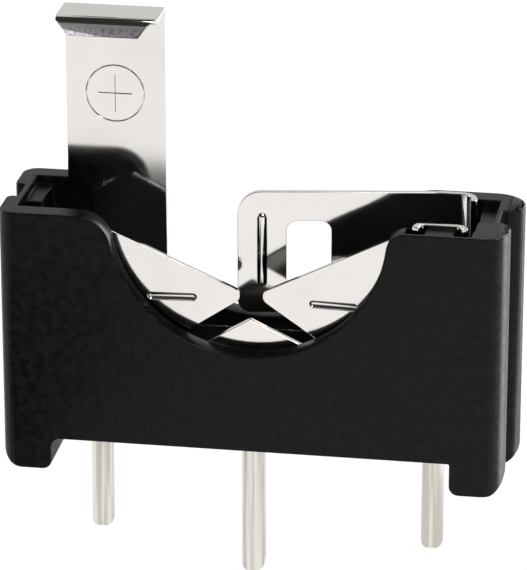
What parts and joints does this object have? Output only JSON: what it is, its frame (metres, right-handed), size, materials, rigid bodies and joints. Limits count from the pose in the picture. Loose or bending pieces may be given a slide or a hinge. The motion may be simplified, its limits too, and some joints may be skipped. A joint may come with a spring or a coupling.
{
  "type": "coin cell holder",
  "caption": "Upright through-hole coin cell holder: black moulded housing with finger cut-outs, a rear contact plate with latch arm and spring, and a front contact with sprung wings.",
  "frame": {"origin": "on the board face that the feet stand on, midway between the two rear solder pins and midway through the thickness", "axes": "+X along the holder away from the latch arm, +Y from the front contact to the rear contact, +Z away from the board, the way the cell leaves"},
  "size_m": [0.0238, 0.0064, 0.0264],
  "materials": {
    "black_plastic": "fine spark-eroded mould texture, edges slightly polished",
    "nickel_plate": "bright nickel plating on spring steel sheet, satin on the solder pins"
  },
  "bodies": {
    "root": {"housing": "black_plastic", "positive_contact": "nickel_plate", "negative_contact": "nickel_plate"}
  },
  "joints": []
}
